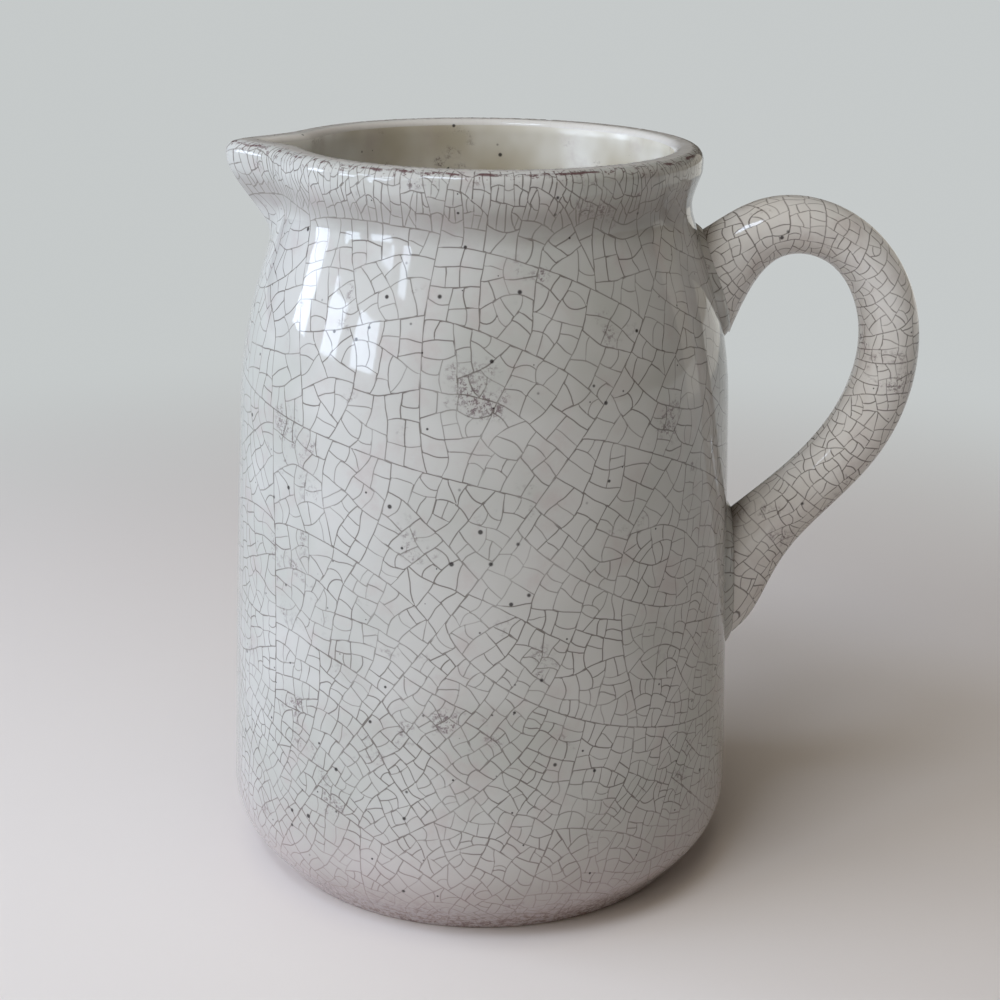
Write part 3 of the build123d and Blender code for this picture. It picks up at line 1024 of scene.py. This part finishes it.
def build_vessel():
    """The glaze outside, the glaze inside and the bare foot."""
    outside = crackled_mesh(
        "vessel_crackle_glaze", vessel_points, vessel_girth, GLAZE_FOOT, GLAZE_TOP,
        vessel_cell, vessel_tallness, VESSEL_SEED, vessel_spacing,
    )
    finished(outside, vessel_glaze(), "glazed_stoneware", "vessel_body")
    inside = grid_mesh(
        "vessel_liner_glaze", vessel_points, GLAZE_TOP, OUTLINE.length - AXIS_HOLE, *LINER_GRID
    )
    finished(inside, liner_glaze(), "glazed_stoneware")
    foot = grid_mesh("vessel_bare_foot", vessel_points, AXIS_HOLE, GLAZE_FOOT, *FOOT_GRID)
    finished(foot, bare_clay(), "glazed_stoneware")


def build_handle():
    """The loop and the slip pads round its two ends."""
    loop = crackled_mesh(
        "handle_glaze", handle_points, handle_girth, 0.0, HANDLE_LENGTH,
        handle_cell, even_cells, HANDLE_SEED, handle_spacing,
    )
    finished(loop, handle_glaze(), "glazed_stoneware", "handle")
    joint_finish = lute_glaze()
    for node, (height, length, width) in LUTES.items():
        form, girth, reach = lute_form(height, length, width)
        pad = crackled_mesh(
            node + "_pad", form, girth, reach * LUTE_HOLE, reach,
            handle_cell, even_cells, LUTE_SEED, lute_spacing,
        )
        finished(pad, joint_finish, "glazed_joint", node)


FLOOR_SPAN = 6.0
FLOOR_NEAR, FLOOR_FAR = 0.30, 0.75       # between these the floor passes into a plain pale ground
FLOOR_COLOUR = srgb(0.885, 0.860, 0.850)
PALE_GROUND = srgb(0.775, 0.790, 0.790)
SURROUND, SURROUND_STRENGTH = (1.0, 0.88, 0.72, 1), 0.08
COOL_DAYLIGHT = (0.82, 0.95, 1.14)
ROOM_LIGHT = (1.0, 0.93, 0.80)

# Rows of window panes: height, how tall, and for each pane the angle round to the left and its width.
PANE_ROWS = (
    (0.43, 0.28, ((57, 0.26), (76, 0.22), (99, 0.24))),
    (0.80, 0.15, ((43, 0.09), (55, 0.17), (68, 0.22), (84, 0.15))),
)
PANE_DISTANCE, PANE_STRENGTH = 1.2, 6.5
# Lamps: angle round to the left, height, distance, width and length, strength, colour, whether mirrored.
LAMPS = {
    "window_glow": (82, 0.8, 1.4, (1.2, 1.0), 2.7, COOL_DAYLIGHT, False),
    "high_window": (32, 1.5, 0.9, (0.5, 0.3), 10.0, COOL_DAYLIGHT, True),
    "room": (33, 1.1, 1.5, (1.4, 1.2), 2.0, ROOM_LIGHT, False),
    "bounce": (-128, 0.25, 0.9, (0.9, 0.4), 0.45, ROOM_LIGHT, True),
    "ceiling": (30, 1.7, 0.3, (1.2, 1.2), 1.5, ROOM_LIGHT, False),
}

CAMERA_PLACE = (0, -631, 331)
CAMERA_PITCH, CAMERA_ROLL = 18.0, 0.7    # degrees
CAMERA_LENS, CAMERA_SENSOR, CAMERA_SHIFT = 68.4, 36.0, 0.017


def floor_finish():
    """A pale floor that keeps shadows, and looks plain further off."""
    s = Shader("floor")
    surface = s.node("ShaderNodeBsdfPrincipled", Roughness=MATT)
    surface.inputs["Base Color"].default_value = FLOOR_COLOUR
    ground = s.node("ShaderNodeEmission", Color=PALE_GROUND, Strength=1.0)
    ray = s.node("ShaderNodeLightPath").outputs
    seen = s.math("MAXIMUM", ray["Is Glossy Ray"], ray["Is Transmission Ray"])
    seen = s.math("MAXIMUM", ray["Is Camera Ray"], seen)
    away = s.node("ShaderNodeVectorMath", {"operation": "LENGTH"}, i0=s.place()).outputs["Value"]
    share = s.times(s.smooth(away, FLOOR_NEAR, FLOOR_FAR), seen)
    blend = s.node("ShaderNodeMixShader", i0=share, i1=surface.outputs[0], i2=ground.outputs[0])
    s.tree.links.new(blend.outputs[0], s.output.inputs["Surface"])
    return s.material


def plain_stage():
    """A pale floor, and a dim warm surround that the camera sees as plain pale ground."""
    mesh = bpy.data.meshes.new("floor")
    corners = [(x * FLOOR_SPAN, y * FLOOR_SPAN, 0) for x, y in ((-1, -1), (1, -1), (1, 1), (-1, 1))]
    mesh.from_pydata(corners, [], [(0, 1, 2, 3)])
    mesh.materials.append(floor_finish())
    floor = bpy.data.objects.new("floor", mesh)
    bpy.context.scene.collection.objects.link(floor)
    world = bpy.data.worlds.new("studio")
    bpy.context.scene.world = world
    world.use_nodes = True
    tree = world.node_tree
    surround = tree.nodes["Background"]
    surround.inputs["Color"].default_value = SURROUND
    surround.inputs["Strength"].default_value = SURROUND_STRENGTH
    backdrop = tree.nodes.new("ShaderNodeBackground")
    backdrop.inputs["Color"].default_value = PALE_GROUND
    seen_by_camera = tree.nodes.new("ShaderNodeLightPath").outputs["Is Camera Ray"]
    chosen = tree.nodes.new("ShaderNodeMixShader")
    tree.links.new(seen_by_camera, chosen.inputs[0])
    tree.links.new(surround.outputs[0], chosen.inputs[1])
    tree.links.new(backdrop.outputs[0], chosen.inputs[2])
    tree.links.new(chosen.outputs[0], tree.nodes["World Output"].inputs["Surface"])


def soft_box(name, azimuth, height, distance, size, radiance, colour, mirrored):
    """A rectangular lamp aimed at the pitcher, at an angle round to the left of the camera's side."""
    turn = math.radians(azimuth)
    place = Vector((-math.sin(turn) * distance, -math.cos(turn) * distance, height))
    lamp = bpy.data.lights.new(name, "AREA")
    lamp.shape = "RECTANGLE"
    lamp.size, lamp.size_y = size
    lamp.energy = radiance * math.pi * size[0] * size[1]
    lamp.color = colour
    box = bpy.data.objects.new(name, lamp)
    box.location = place
    box.rotation_euler = (Vector((0, 0, HEIGHT * MM / 2)) - place).to_track_quat("-Z", "Y").to_euler()
    box.visible_glossy = mirrored
    bpy.context.scene.collection.objects.link(box)


def studio_lights():
    """A many-paned window at the left, with the soft light of the room in front."""
    for row, (height, tall, panes) in enumerate(PANE_ROWS):
        for column, (azimuth, width) in enumerate(panes):
            size = (width, tall)
            name = f"pane_{row}{column}"
            soft_box(name, azimuth, height, PANE_DISTANCE, size, PANE_STRENGTH, COOL_DAYLIGHT, True)
    for name, settings in LAMPS.items():
        soft_box(name, *settings)


def matched_camera():
    """The photograph's viewing angle."""
    pitch, roll = math.radians(CAMERA_PITCH), math.radians(CAMERA_ROLL)
    forward = Vector((0, math.cos(pitch), -math.sin(pitch)))
    level = Vector((1, 0, 0))
    upward = level.cross(forward)
    right = level * math.cos(roll) + upward * math.sin(roll)
    up = upward * math.cos(roll) - level * math.sin(roll)
    camera = bpy.data.cameras.new("camera")
    camera.lens = CAMERA_LENS
    camera.sensor_width = CAMERA_SENSOR
    camera.shift_x = CAMERA_SHIFT
    view = bpy.data.objects.new("camera", camera)
    axes = Matrix((right, up, -forward)).transposed().to_4x4()
    view.matrix_world = Matrix.Translation(Vector(CAMERA_PLACE) * MM) @ axes
    bpy.context.scene.collection.objects.link(view)
    bpy.context.scene.camera = view


build_vessel()
build_handle()
plain_stage()
studio_lights()
matched_camera()
bpy.context.scene.view_settings.view_transform = "Standard"
